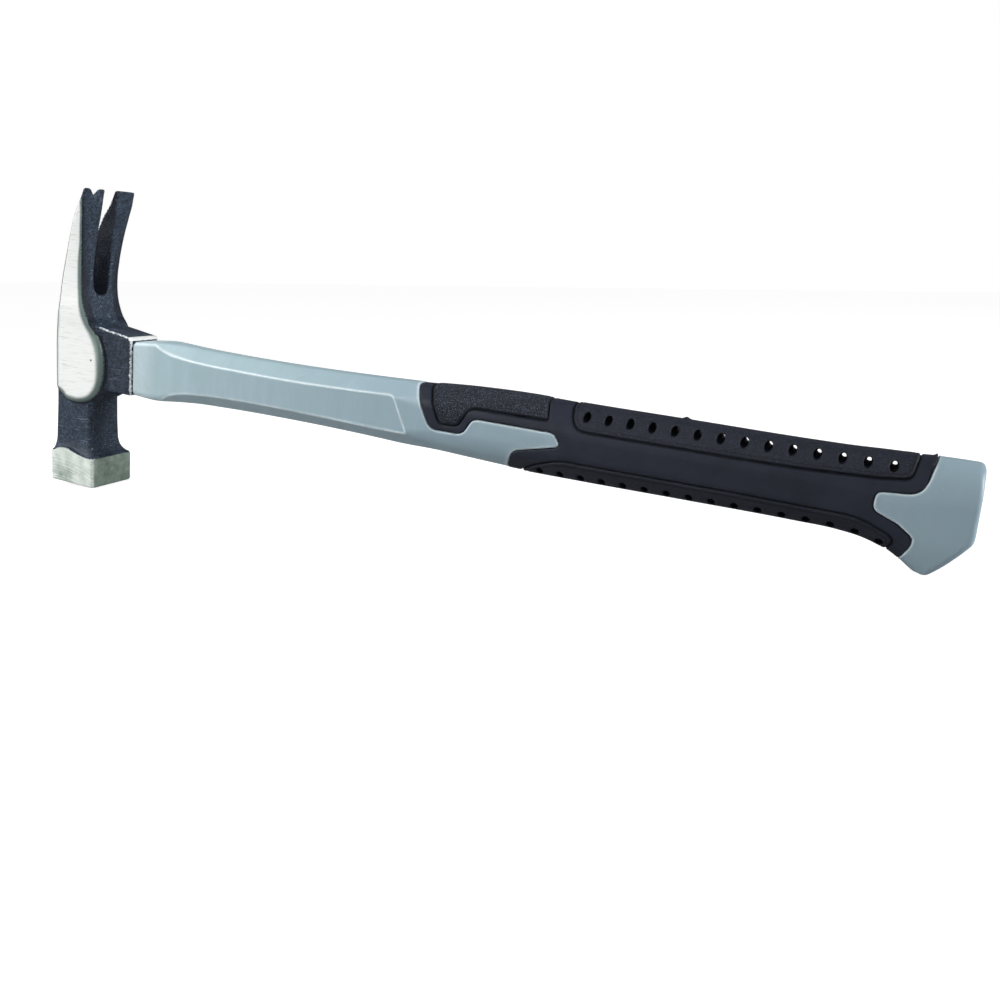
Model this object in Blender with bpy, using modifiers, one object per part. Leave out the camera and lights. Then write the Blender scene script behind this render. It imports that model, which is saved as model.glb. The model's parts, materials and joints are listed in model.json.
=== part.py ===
"""Claw hammer with a square striking face, straight split claw and moulded handle.

The hammer is drawn in its own axes: X along the handle towards the butt, Y across
the head, Z from the striking face up to the claw tips, with the striking face's
middle at the origin.  At the end the whole hammer is tipped onto the two edges that
it rests on when it is put down, and stood with its bounding box on Z = 0.

Pieces: forged head, fibreglass core, plastic jacket, rubber grip, eye resin.
"""
import math

import bmesh
import bpy
from mathutils import Matrix, Vector

MM = 0.001
GAP = 0.3             # clearance between pieces that touch on the real hammer

# Head, in millimetres
FACE_SIDE = 25.4      # square striking face
FACE_DEPTH = 14.7     # ground block above the striking face
FACE_EDGE = 0.7       # broken edge round the block
NECK_HALF = 9.0       # half the neck's width across the head
BACK_X = -12.9        # back of the head, opposite the handle
EYE_HALF = 8.8        # half the width of the eye's walls
EYE_ROUND = 1.1
CHEEK_HALF = 11.8     # half the width over the two raised cheeks
SOCKET_END = 31.5     # mouth of the eye's collar
SOCKET_LOW = 47.7
SOCKET_HIGH = 74.3
CLAW_TOP = 137.7

# Hole through the head that holds the handle
BORE_HALF = 7.2
BORE_LOW = 50.0
BORE_HIGH = 71.9
BORE_ROUND = 2.0

# Handle
SPIGOT_START = 5.0    # front end of the jacket inside the eye
CORE_START = -12.5
CORE_END = 350.0
CORE_HALF_Y = 4.5
CORE_HALF_Z = 5.0
CORE_Z = 62.5
CORE_ROUND = 2.0
GRIP_SIDE = 2.6       # rubber thickness on the sides
GRIP_TOP = 7.5        # rubber thickness above the jacket
GRIP_UNDER = 4.5      # rubber thickness below the jacket
SECTION_ROUND = 1.6   # rounding of the handle section's corners

# Finger holes moulded along both edges of the grip
HOLE_PITCH = 8.44
UPPER_HOLES = 14
UPPER_START = (249.5, 76.3)
UPPER_RISE = 0.2
UPPER_SIZE = (3.1, 4.2)
LOWER_HOLES = 16
LOWER_START_X = 233.0
LOWER_ABOVE_KEEL = 2.1
LOWER_SIZE = (2.5, 2.5)

# Lines that touch a flat surface when the hammer is put down: face edge and heel
FACE_REST_X = FACE_SIDE / 2 - FACE_EDGE
HEEL = (375.4, 42.0)
REST_TILT = math.atan2(HEEL[1], HEEL[0] - FACE_REST_X)

# Neck of the head: height, front, half width
NECK = [
    (13.7, 12.0, 12.0), (14.9, 11.6, 11.8), (16.4, 10.3, 10.7), (18.4, 9.0, 9.6),
    (21.0, 8.2, 9.1), (25.0, 8.0, NECK_HALF), (38.0, 8.0, NECK_HALF), (54.0, 8.4, NECK_HALF),
]

# Claw: height, back, front, half width
CLAW = [
    (70.0, -11.6, 12.0, 11.0), (74.0, -11.4, 12.6, 11.5), (77.0, -11.0, 9.9, 11.9),
    (80.0, -10.4, 6.8, 12.3), (85.0, -9.6, 4.8, 12.5), (90.0, -8.7, 3.9, 12.5),
    (97.0, -7.2, 3.9, 12.6), (105.0, -4.9, 4.6, 12.9), (113.0, -2.1, 5.7, 13.5),
    (120.0, 0.6, 7.0, 14.2), (126.0, 3.3, 8.4, 14.8), (131.0, 5.9, 9.5, 15.2),
    (135.5, 8.2, 10.2, 15.4), (CLAW_TOP, 9.3, 10.4, 15.1),
]

# Nail slot between the prongs: height, half width on the back, half width on the front
SLOT = [
    (90.3, 0.15, 0.8), (91.4, 0.4, 3.0), (93.5, 0.6, 4.2), (97.0, 0.8, 4.6), (110.0, 1.2, 4.6),
    (119.0, 2.1, 4.5), (127.0, 3.0, 4.3), (139.5, 3.9, 4.1),
]
SLOT_REACH = 2.5      # how far the slot's cutter runs past both faces of the claw

# Tack notch in one prong's tip
NOTCH_Y = -9.4
NOTCH_DEPTH = 2.3

# Side view of the eye with its collar
EYE_OUTLINE = [
    (BACK_X, 45.0), (8.0, 45.0), (9.6, SOCKET_LOW), (SOCKET_END, SOCKET_LOW),
    (SOCKET_END, SOCKET_HIGH), (12.8, 76.6), (4.0, 79.0), (BACK_X + 3.0, 79.0), (BACK_X, 72.0),
]

# Side view of the raised cheek, a leaf that runs up into the side of the claw
CHEEK_OUTLINE = [
    (-10.3, 44.2), (-7.2, 41.0), (3.6, 39.7), (10.0, 42.3), (14.6, 45.7), (17.6, 50.9),
    (18.9, 57.0), (18.9, 61.5), (17.7, 67.1), (14.2, 73.2), (8.8, 77.4), (5.6, 80.6),
    (3.6, 84.5), (-8.8, 84.5), (-10.8, 76.0), (-11.0, 50.0),
]

# Handle section along X: top, upper side corner, lower side corner, bottom,
# half width at the sides, half width of the top, half width of the bottom
HANDLE = [
    (SOCKET_END + GAP, 73.5, 72.4, 49.4, 48.0, 7.9, 6.9, 6.9),
    (45.0, 74.2, 72.8, 49.0, 47.5, 8.1, 6.9, 6.9),
    (54.0, 74.4, 70.5, 51.8, 48.3, 8.5, 5.0, 5.4),
    (64.0, 74.3, 69.1, 53.9, 49.2, 9.0, 3.6, 4.4),
    (82.0, 74.2, 68.7, 55.5, 50.1, 9.4, 3.4, 4.0),
    (110.0, 74.5, 68.8, 56.4, 50.9, 9.7, 3.4, 4.0),
    (150.0, 75.9, 70.3, 56.3, 51.1, 10.2, 3.5, 4.0),
    (176.0, 77.3, 71.0, 56.8, 50.7, 11.0, 3.6, 4.2),
    (200.0, 79.2, 71.3, 57.4, 50.2, 11.8, 3.6, 4.4),
    (222.0, 80.4, 70.8, 58.0, 49.8, 12.3, 3.6, 4.4),
    (245.0, 80.2, 70.6, 58.6, 50.3, 12.3, 3.6, 4.4),
    (290.0, 81.1, 71.0, 59.4, 51.5, 12.3, 3.6, 4.4),
    (330.0, 81.8, 71.6, 59.8, 52.4, 12.3, 3.6, 4.4),
    (345.0, 82.3, 71.8, 59.4, 52.4, 12.2, 3.6, 4.4),
    (355.0, 82.9, 72.0, 58.3, 51.2, 12.0, 3.6, 4.4),
    (364.0, 83.4, 72.8, 55.8, 48.1, 11.8, 3.7, 4.4),
    (372.0, 84.0, 74.5, 52.0, 43.1, 11.6, 4.2, 4.4),
    (392.0, 84.5, 76.5, 50.0, 35.5, 11.4, 4.8, 4.4),
]

# Side view that cuts the butt to its flat end and pointed heel
BUTT_OUTLINE = [
    (0.0, 30.0), (367.0, 30.0), (373.4, 42.6), HEEL, (377.4, 43.6), (387.0, 56.2),
    (388.7, 58.8), (387.4, 83.6), (385.8, 86.0), (380.0, 95.0), (0.0, 95.0),
]

# Side view of the rubber: front edge from top to bottom, then rear edge upwards
GRIP_FRONT = [
    (175.4, 95.0), (175.8, 78.0), (177.6, 75.2), (180.6, 71.2), (185.2, 62.8), (187.6, 61.0),
    (199.6, 61.4), (201.4, 62.8), (204.2, 67.6), (206.2, 68.5), (237.6, 69.0), (239.6, 68.2),
    (241.8, 65.2), (240.9, 63.6), (224.0, 59.1), (222.1, 57.4), (218.6, 50.0), (216.4, 40.0),
]
GRIP_REAR = [
    (363.4, 40.0), (366.9, 47.8), (369.4, 54.0), (369.5, 56.6), (364.0, 60.4), (356.4, 63.2),
    (355.1, 64.8), (355.1, 69.2), (356.6, 70.6), (366.6, 71.6), (369.2, 73.2), (370.6, 76.2),
    (371.8, 82.0), (373.2, 95.0),
]


def clear_scene():
    """Removes every object that the start-up scene holds."""
    for item in list(bpy.data.objects):
        bpy.data.objects.remove(item, do_unlink=True)


def new_collection(name):
    """Adds a collection to the scene."""
    group = bpy.data.collections.new(name)
    bpy.context.scene.collection.children.link(group)
    return group


def make_material(name, colour, roughness, metallic=0.0):
    """Principled material of one plain finish."""
    material = bpy.data.materials.new(name)
    material.use_nodes = True
    shader = material.node_tree.nodes["Principled BSDF"]
    shader.inputs["Base Color"].default_value = (*colour, 1.0)
    shader.inputs["Roughness"].default_value = roughness
    shader.inputs["Metallic"].default_value = metallic
    return material


def add_object(name, mesh, group, frame, material=None):
    """Links a mesh as an object that hangs from the hammer's own axes."""
    item = bpy.data.objects.new(name, mesh)
    group.objects.link(item)
    item.parent = frame
    if material:
        item.data.materials.append(material)
    return item


def mark_cutter(item):
    """Shows a tool solid as wires only and keeps it out of renders."""
    item.hide_render = True
    item.display_type = "WIRE"
    return item


def boolean(item, tool, operation):
    """Adds an exact Boolean modifier."""
    modifier = item.modifiers.new(f"{operation.lower()}_{tool.name}", "BOOLEAN")
    modifier.operation = operation
    modifier.solver = "EXACT"
    modifier.object = tool


def finish_mesh(mesh_tools, name):
    """Turns a bmesh into a mesh with its faces outward and smooth shading."""
    bmesh.ops.recalc_face_normals(mesh_tools, faces=mesh_tools.faces)
    mesh = bpy.data.meshes.new(name)
    mesh_tools.to_mesh(mesh)
    mesh_tools.free()
    mesh.shade_smooth()
    mesh.set_sharp_from_angle(angle=math.radians(30))
    return mesh


def loft(name, rings):
    """Skins a list of rings with equal point counts and caps both ends."""
    tools = bmesh.new()
    rows = [[tools.verts.new(Vector(point) * MM) for point in ring] for ring in rings]
    for low, high in zip(rows, rows[1:]):
        for i in range(len(low)):
            j = (i + 1) % len(low)
            tools.faces.new((low[i], low[j], high[j], high[i]))
    tools.faces.new(rows[0])
    tools.faces.new(rows[-1])
    return finish_mesh(tools, name)


def interpolate(table, value, column):
    """Reads a column of a table that is sorted by its first column."""
    if value >= table[-1][0]:
        return table[-1][column]
    for low, high in zip(table, table[1:]):
        if low[0] <= value <= high[0]:
            share = (value - low[0]) / (high[0] - low[0])
            return low[column] + (high[column] - low[column]) * share
    return table[0][column]


def round_corners(points, radius, steps=2):
    """Replaces each corner of a closed outline by a short curve."""
    result = []
    for i, corner in enumerate(points):
        here = Vector(corner)
        before = Vector(points[i - 1]) - here
        after = Vector(points[(i + 1) % len(points)]) - here
        start = here + before.normalized() * min(radius, before.length * 0.42)
        end = here + after.normalized() * min(radius, after.length * 0.42)
        for step in range(steps + 1):
            t = step / steps
            result.append(start * (1 - t) ** 2 + here * 2 * t * (1 - t) + end * t ** 2)
    return result


def prism(name, outline, half_width):
    """Extrudes a side view (x, z) to both sides of the middle plane."""
    curve = bpy.data.curves.new(name, "CURVE")
    curve.dimensions = "2D"
    curve.fill_mode = "BOTH"
    curve.extrude = half_width * MM
    spline = curve.splines.new("POLY")
    spline.points.add(len(outline) - 1)
    for point, (x, z) in zip(spline.points, outline):
        point.co = (x * MM, z * MM, 0.0, 1.0)
    spline.use_cyclic_u = True
    holder = bpy.data.objects.new(name, curve)
    bpy.context.scene.collection.objects.link(holder)
    graph = bpy.context.evaluated_depsgraph_get()
    flat = bpy.data.meshes.new_from_object(holder.evaluated_get(graph))
    tools = bmesh.new()
    tools.from_mesh(flat)
    bmesh.ops.remove_doubles(tools, verts=tools.verts, dist=0.00001)
    bmesh.ops.transform(tools, matrix=Matrix.Rotation(math.pi / 2, 4, "X"), verts=tools.verts)
    bpy.data.objects.remove(holder, do_unlink=True)
    return finish_mesh(tools, name)


def block(name, low, high, bevel=0.0, segments=2):
    """Box between two corners, with its edges broken by a bevel."""
    tools = bmesh.new()
    bmesh.ops.create_cube(tools, size=1.0)
    size = Vector(high) - Vector(low)
    middle = (Vector(high) + Vector(low)) / 2
    bmesh.ops.scale(tools, vec=size * MM, verts=tools.verts)
    bmesh.ops.translate(tools, vec=middle * MM, verts=tools.verts)
    if bevel:
        bmesh.ops.bevel(tools, geom=tools.edges[:], offset=bevel * MM, segments=segments,
                        affect="EDGES", profile=0.5)
    return finish_mesh(tools, name)


def bar_along_x(name, start, end, half_y, low, high, radius):
    """Straight bar along X with a rounded rectangular section."""
    corners = [(-half_y, low), (half_y, low), (half_y, high), (-half_y, high)]
    section = round_corners(corners, radius, steps=3)
    return loft(name, [[(x, y, z) for y, z in section] for x in (start, end)])


def level_ring(height, back, front, half, radius):
    """Rounded rectangle in a level plane, for lofts that run up the head."""
    corners = [(back, -half), (front, -half), (front, half), (back, half)]
    return [(x, y, height) for x, y in round_corners(corners, radius)]


def handle_ring(station, side=0.0, top=0.0, under=0.0):
    """Eight-sided handle section, drawn in by the three given thicknesses."""
    x, high, upper, lower, low, half, crown, keel = station
    high, low, half = high - top, low + under, half - side
    upper = min(upper, high - 1.0)
    lower = max(lower, low + 1.0)
    crown, keel = max(crown - side * 0.2, 1.5), max(keel - side * 0.2, 1.5)
    corners = [(-keel, low), (keel, low), (half, lower), (half, upper),
               (crown, high), (-crown, high), (-half, upper), (-half, lower)]
    return [(x, y, z) for y, z in round_corners(corners, SECTION_ROUND)]


def grow(outline, distance):
    """Moves each edge of a clockwise or anticlockwise outline outward."""
    area = sum(a[0] * b[1] - b[0] * a[1] for a, b in zip(outline, outline[1:] + outline[:1]))
    turn = 1.0 if area > 0 else -1.0
    result = []
    for i, point in enumerate(outline):
        here = Vector(point)
        into = (here - Vector(outline[i - 1])).normalized()
        out = (Vector(outline[(i + 1) % len(outline)]) - here).normalized()
        side_a = Vector((into.y, -into.x)) * turn
        side_b = Vector((out.y, -out.x)) * turn
        middle = (side_a + side_b).normalized()
        result.append(tuple(here + middle * distance / max(middle.dot(side_a), 0.5)))
    return result


def build_head(parts, tools, frame, steel):
    """One forging: face block, neck, eye with collar, cheeks and split claw."""
    half = FACE_SIDE / 2
    face = block("head", (-half, -half, 0.0), (half, half, FACE_DEPTH), FACE_EDGE)
    head = add_object("head", face, parts, frame, steel)

    neck_rings = [level_ring(z, BACK_X + 0.1, front, width, 1.8) for z, front, width in NECK]
    claw_rings = [level_ring(z, back, front, width, min(2.6, (front - back) * 0.3))
                  for z, back, front, width in CLAW]
    solids = [
        ("neck", loft("neck", neck_rings)),
        ("eye_walls", prism("eye_walls", EYE_OUTLINE, EYE_HALF)),
        ("cheeks", prism("cheeks", CHEEK_OUTLINE, CHEEK_HALF)),
        ("claw", loft("claw", claw_rings)),
    ]
    for name, mesh in solids:
        tool = mark_cutter(add_object(name, mesh, tools, frame))
        if name in ("eye_walls", "cheeks"):
            edge = tool.modifiers.new("edge", "BEVEL")
            edge.width = EYE_ROUND * MM
            edge.segments = 2
            edge.angle_limit = math.radians(40)
        boolean(head, tool, "UNION")

    slot_rings = []
    for z, narrow, wide in SLOT:
        back = interpolate(CLAW, z, 1) - SLOT_REACH
        front = interpolate(CLAW, z, 2) + SLOT_REACH
        slot_rings.append([(back, -narrow, z), (front, -wide, z), (front, wide, z),
                           (back, narrow, z)])
    slot = mark_cutter(add_object("nail_slot", loft("nail_slot", slot_rings), tools, frame))
    boolean(head, slot, "DIFFERENCE")

    groove = block("tack_notch", (-NOTCH_DEPTH, -NOTCH_DEPTH * 0.6, -NOTCH_DEPTH * 0.6),
                   (30.0, NOTCH_DEPTH * 0.6, NOTCH_DEPTH * 0.6))
    groove.transform(Matrix.Rotation(math.radians(45), 4, "X"))
    groove.transform(Matrix.Translation(Vector((0.0, NOTCH_Y, CLAW_TOP - 0.4)) * MM))
    notch = mark_cutter(add_object("tack_notch", groove, tools, frame))
    boolean(head, notch, "DIFFERENCE")

    hole = bar_along_x("eye_hole", BACK_X - 5, SOCKET_END + 5, BORE_HALF, BORE_LOW, BORE_HIGH,
                       BORE_ROUND)
    boolean(head, mark_cutter(add_object("eye_hole", hole, tools, frame)), "DIFFERENCE")
    return head


def build_core(parts, tools, frame, fibreglass):
    """Pultruded rod from the top of the eye to the butt, and the bore that holds it."""
    rod = bar_along_x("fibreglass_core", CORE_START, CORE_END, CORE_HALF_Y,
                      CORE_Z - CORE_HALF_Z, CORE_Z + CORE_HALF_Z, CORE_ROUND)
    add_object("fibreglass_core", rod, parts, frame, fibreglass)
    bore = bar_along_x("core_bore", CORE_START - 5, CORE_END + GAP, CORE_HALF_Y + GAP,
                       CORE_Z - CORE_HALF_Z - GAP, CORE_Z + CORE_HALF_Z + GAP, CORE_ROUND)
    return mark_cutter(add_object("core_bore", bore, tools, frame))


def build_resin(parts, frame, bore, resin):
    """Epoxy that fills the eye around the core's end."""
    plug = bar_along_x("eye_resin", BACK_X + 0.5, SPIGOT_START - GAP, BORE_HALF - GAP,
                       BORE_LOW + GAP, BORE_HIGH - GAP, BORE_ROUND)
    item = add_object("eye_resin", plug, parts, frame, resin)
    boolean(item, bore, "DIFFERENCE")


def build_jacket(parts, tools, frame, bore, plastic):
    """Plastic shaft and butt, with a spigot in the eye and a recess for the rubber."""
    outer = loft("handle_jacket", [handle_ring(station) for station in HANDLE])
    jacket = add_object("handle_jacket", outer, parts, frame, plastic)

    butt = mark_cutter(add_object("butt_shape", prism("butt_shape", BUTT_OUTLINE, 25.0),
                                  tools, frame))
    boolean(jacket, butt, "INTERSECT")

    stem = bar_along_x("eye_spigot", SPIGOT_START, SOCKET_END + 8, BORE_HALF - GAP,
                       BORE_LOW + GAP, BORE_HIGH - GAP, BORE_ROUND)
    boolean(jacket, mark_cutter(add_object("eye_spigot", stem, tools, frame)), "UNION")

    recess_outline = grow(GRIP_FRONT + GRIP_REAR, GAP)
    recess = mark_cutter(add_object("grip_recess", prism("grip_recess", recess_outline, 25.0),
                                    tools, frame))
    inner = loft("jacket_inside_grip",
                 [handle_ring(station, GRIP_SIDE + GAP, GRIP_TOP + GAP, GRIP_UNDER + GAP)
                  for station in HANDLE])
    boolean(recess, mark_cutter(add_object("jacket_inside_grip", inner, tools, frame)),
            "DIFFERENCE")
    boolean(jacket, recess, "DIFFERENCE")
    boolean(jacket, bore, "DIFFERENCE")


def hole_tool(name, x, z, size):
    """Oval bar across the handle that cuts one finger hole."""
    tools = bmesh.new()
    bmesh.ops.create_cone(tools, cap_ends=True, segments=10, radius1=0.5 * MM, radius2=0.5 * MM,
                          depth=40 * MM)
    bmesh.ops.rotate(tools, matrix=Matrix.Rotation(math.pi / 2, 3, "X"), verts=tools.verts)
    bmesh.ops.scale(tools, vec=(size[0], 1.0, size[1]), verts=tools.verts)
    bmesh.ops.translate(tools, vec=Vector((x, 0.0, z)) * MM, verts=tools.verts)
    return finish_mesh(tools, name)


def build_grip(parts, tools, frame, rubber):
    """Rubber sleeve round the jacket, with a row of holes along each edge."""
    outer = loft("rubber_grip", [handle_ring(station) for station in HANDLE])
    grip = add_object("rubber_grip", outer, parts, frame, rubber)
    zone = mark_cutter(add_object("grip_zone",
                                  prism("grip_zone", GRIP_FRONT + GRIP_REAR, 25.0),
                                  tools, frame))
    boolean(grip, zone, "INTERSECT")
    inside = loft("grip_inside", [handle_ring(station, GRIP_SIDE, GRIP_TOP, GRIP_UNDER)
                                  for station in HANDLE])
    boolean(grip, mark_cutter(add_object("grip_inside", inside, tools, frame)), "DIFFERENCE")

    places = []
    for i in range(UPPER_HOLES):
        places.append((UPPER_START[0] + HOLE_PITCH * i, UPPER_START[1] + UPPER_RISE * i,
                       UPPER_SIZE))
    for i in range(LOWER_HOLES):
        x = LOWER_START_X + HOLE_PITCH * i
        places.append((x, interpolate(HANDLE, x, 4) + LOWER_ABOVE_KEEL, LOWER_SIZE))
    holes = bmesh.new()
    for x, z, size in places:
        holes.from_mesh(hole_tool("finger_hole", x, z, size))
    cutter = mark_cutter(add_object("finger_holes", finish_mesh(holes, "finger_holes"),
                                    tools, frame))
    boolean(grip, cutter, "DIFFERENCE")


def stand_on_floor(frame, parts):
    """Tips the hammer onto its face edge and heel, with its box's base at the origin."""
    frame.rotation_euler = (0.0, REST_TILT, 0.0)
    bpy.context.view_layer.update()
    graph = bpy.context.evaluated_depsgraph_get()
    low = Vector((math.inf,) * 3)
    high = -low
    for item in parts.objects:
        shown = item.evaluated_get(graph)
        for vertex in shown.data.vertices:
            place = shown.matrix_world @ vertex.co
            low = Vector(map(min, low, place))
            high = Vector(map(max, high, place))
    frame.location = (-(low.x + high.x) / 2, -(low.y + high.y) / 2, -low.z)
    bpy.context.view_layer.update()


def build_hammer():
    """Makes every piece and stands the hammer on the floor."""
    clear_scene()
    parts = new_collection("claw_hammer")
    tools = new_collection("cutters")
    frame = bpy.data.objects.new("hammer_axes", None)
    parts.objects.link(frame)

    steel = make_material("forged_steel", (0.024, 0.031, 0.042), 0.5, 0.6)
    fibreglass = make_material("fibreglass", (0.72, 0.66, 0.42), 0.45)
    resin = make_material("epoxy", (0.12, 0.10, 0.07), 0.25)
    plastic = make_material("grey_plastic", (0.36, 0.44, 0.48), 0.42)
    rubber = make_material("black_rubber", (0.018, 0.020, 0.026), 0.62)

    build_head(parts, tools, frame, steel)
    bore = build_core(parts, tools, frame, fibreglass)
    build_resin(parts, frame, bore, resin)
    build_jacket(parts, tools, frame, bore, plastic)
    build_grip(parts, tools, frame, rubber)
    parts.objects.unlink(frame)
    bpy.context.scene.collection.objects.link(frame)
    stand_on_floor(frame, parts)


build_hammer()
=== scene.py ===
"""Claw hammer with a square face, straight split claw and moulded handle.

Each piece is drawn in the hammer's own axes, in millimetres: X along the handle towards
the butt, Y across the head, Z from the striking face up to the claw tips, with the
striking face's middle at the origin.  A piece is a field, a function that is negative
inside the solid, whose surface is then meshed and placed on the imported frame.
"""
import json
import math

import bpy
import numpy as np
from mathutils import Matrix, Vector


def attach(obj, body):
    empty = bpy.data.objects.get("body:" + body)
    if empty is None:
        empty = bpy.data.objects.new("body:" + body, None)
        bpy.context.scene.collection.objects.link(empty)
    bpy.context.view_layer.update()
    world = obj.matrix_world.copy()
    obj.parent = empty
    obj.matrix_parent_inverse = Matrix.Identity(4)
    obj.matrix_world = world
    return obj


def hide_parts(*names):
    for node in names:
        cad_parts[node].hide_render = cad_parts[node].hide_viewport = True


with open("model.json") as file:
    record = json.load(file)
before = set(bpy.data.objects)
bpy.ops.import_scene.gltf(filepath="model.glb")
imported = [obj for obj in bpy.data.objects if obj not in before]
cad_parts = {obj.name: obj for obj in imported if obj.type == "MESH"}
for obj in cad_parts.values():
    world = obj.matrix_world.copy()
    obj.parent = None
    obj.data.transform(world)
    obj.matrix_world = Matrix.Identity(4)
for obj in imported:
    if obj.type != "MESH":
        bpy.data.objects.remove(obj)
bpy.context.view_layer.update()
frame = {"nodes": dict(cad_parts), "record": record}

MM = 0.001
HEAD_STEP = 0.42      # mesh size on the head
PLASTIC_STEP = 0.55
RUBBER_STEP = 0.42
RESIN_STEP = 0.5
SLOPE_STEP = 0.06     # distance over which a field's slope is measured
FLOOR_REACH = 6.0     # metres

# Head
FACE_HALF = 13.0
BLOCK_TOP = 14.7
BLOCK_REACH = 22.0    # everything below this height is the face block or its fillet
BACK_X = -12.8
NECK_SPAN = (10.0, 56.0)
EYE_HALF = 8.8
CHEEK_HALF = 11.8
MOUTH_X = 31.5        # end of the collar that holds the handle
CLAW_TOP = 137.6
CLAW_BASE = 68.0
SLOT_BOTTOM = 90.0
CROWN = 0.9           # how far the claw's inner face bulges along its middle
BORE_HALF = 7.2
BORE_MIDDLE = 60.95
BORE_HALF_HEIGHT = 10.95
NOTCH_Y = -9.4
NOTCH_BOTTOM = 134.3
POLISH_TOP = 132.6    # the ground strip on the claw's side ends here
PIT = (10.6, -11.4, 61.2)   # small dark pit in the near cheek
GRINDING_CENTRE = (-9.0, 0.0, -46.0)   # of the arcs that the wheel left on the face block

# Handle
HANDLE_START = 31.6
SPIGOT_START = 5.0
SPIGOT_END = 39.5
SPIGOT_HALF = 6.9
SPIGOT_HALF_HEIGHT = 10.65
CORE_END = 350.3
CORE_Z = 62.5
CORE_HALF = (4.8, 5.3)   # bore for the core, across and up
MARK = (120.0, 72.3)  # small raised ring moulded on the side of the shaft
MARK_RADIUS = 1.5
GAP = 0.3
GRIP_SIDE = 2.6
GRIP_TOP = 7.5
GRIP_UNDER = 4.5
PAD_HEIGHT = 0.35
PAD_GROOVE = 0.75
NUB_X = 285.5         # small nub on top of the grip

# Finger holes
HOLE_PITCH = 8.44
UPPER_HOLES = 14
UPPER_START = (249.5, 76.3)
UPPER_RISE = 0.2
UPPER_RADII = (1.5, 1.85)
LOWER_HOLES = 16
LOWER_START_X = 233.0
LOWER_ABOVE_KEEL = 2.1
LOWER_RADII = (1.45, 1.4)

OUTSIDE = -9.0        # depth of a point that a mask leaves out

# Neck: height, front, half width
NECK = [
    (10.0, 12.7, 12.7), (13.9, 12.5, 12.6), (14.8, 11.8, 12.1), (16.0, 10.6, 11.2),
    (17.8, 9.5, 10.3), (20.5, 8.8, 9.7), (25.0, 8.5, 9.5), (38.0, 8.3, 9.2), (56.0, 8.4, 9.0),
]

# Claw: height, back, front, half width
CLAW = [
    (60.0, -11.9, 12.0, 10.6), (70.0, -11.7, 12.4, 11.0), (74.0, -11.4, 12.3, 11.5),
    (77.0, -11.0, 10.6, 11.9), (80.0, -10.4, 8.0, 12.2), (85.0, -9.6, 5.8, 12.2),
    (90.0, -9.1, 4.9, 11.9), (97.0, -7.9, 4.6, 11.9), (105.0, -5.6, 5.3, 12.2),
    (113.0, -2.7, 6.3, 12.9), (120.0, 0.2, 7.4, 13.8), (126.0, 3.1, 8.6, 14.6),
    (131.0, 6.4, 9.5, 15.2), (135.5, 8.6, 10.2, 15.3), (140.0, 10.3, 11.3, 15.0),
]

# Nail slot: height, half width on the back, half width on the front
SLOT = [
    (90.0, 0.1, 0.3), (90.6, 0.3, 2.4), (91.6, 0.45, 3.5), (93.5, 0.6, 4.3), (97.0, 0.8, 4.6),
    (110.0, 1.5, 4.7), (115.0, 2.2, 4.6), (119.0, 2.9, 4.5), (123.0, 3.3, 4.4),
    (127.0, 3.4, 4.3), (140.0, 3.7, 4.1),
]

# Side views (x, z)
EYE_OUTLINE = [
    (BACK_X, 45.0), (8.0, 45.0), (10.4, 47.7), (MOUTH_X, 47.7), (MOUTH_X, 74.3), (12.8, 76.6),
    (4.0, 79.0), (-9.9, 79.0), (BACK_X, 72.0),
]
LEAF_EDGE = [
    (8.4, POLISH_TOP), (8.0, 127.5), (6.6, 119.5), (5.2, 109.0), (4.4, 99.0), (4.5, 91.5),
    (5.6, 85.2), (8.6, 78.6), (12.2, 73.6), (15.2, 67.4), (16.2, 60.5), (15.8, 53.6),
    (13.5, 47.4), (8.8, 42.4), (2.0, 39.9), (-5.2, 40.2), (-8.8, 43.0), (-16.0, 43.8),
]
PANEL = [
    (26.0, 74.5), (41.0, 74.2), (44.5, 73.2), (48.0, 71.2), (53.0, 69.7), (64.5, 68.9),
    (81.0, 68.6), (107.0, 68.8), (127.0, 69.2), (151.0, 70.3), (168.2, 71.4), (175.8, 56.7),
    (157.0, 56.4), (138.0, 56.6), (118.0, 56.5), (97.5, 56.3), (76.0, 55.4), (62.0, 54.0),
    (54.5, 52.3), (50.0, 50.2), (46.5, 47.8), (26.0, 47.0),
]
BUTT_OUTLINE = [
    (0.0, 30.0), (367.0, 30.0), (373.4, 42.6), (375.4, 42.0), (377.4, 43.6), (387.0, 56.2),
    (388.7, 58.8), (387.4, 83.6), (385.8, 88.0), (0.0, 95.0),
]
GRIP_FRONT = [
    (175.4, 95.0), (175.8, 78.0), (177.6, 75.2), (180.6, 71.2), (185.2, 62.8), (187.6, 61.0),
    (199.6, 61.4), (201.4, 62.8), (204.2, 67.6), (206.2, 68.5), (237.6, 69.0), (239.6, 68.2),
    (241.8, 65.2), (240.9, 63.6), (224.0, 59.1), (222.1, 57.4), (218.6, 50.0), (216.4, 40.0),
]
GRIP_REAR = [
    (363.4, 40.0), (366.9, 47.8), (369.4, 54.0), (369.5, 56.6), (364.0, 60.4), (356.4, 63.2),
    (355.1, 64.8), (355.1, 69.2), (356.6, 70.6), (366.6, 71.6), (369.2, 73.2), (370.6, 76.2),
    (371.8, 82.0), (373.2, 95.0),
]
THUMB_PAD = [
    (182.2, 95.0), (182.3, 77.2), (186.0, 71.8), (189.3, 64.9), (191.3, 63.4), (197.9, 64.0),
    (199.4, 65.4), (202.3, 70.8), (204.2, 72.0), (235.2, 72.7), (232.8, 80.0), (232.6, 95.0),
]
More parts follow.
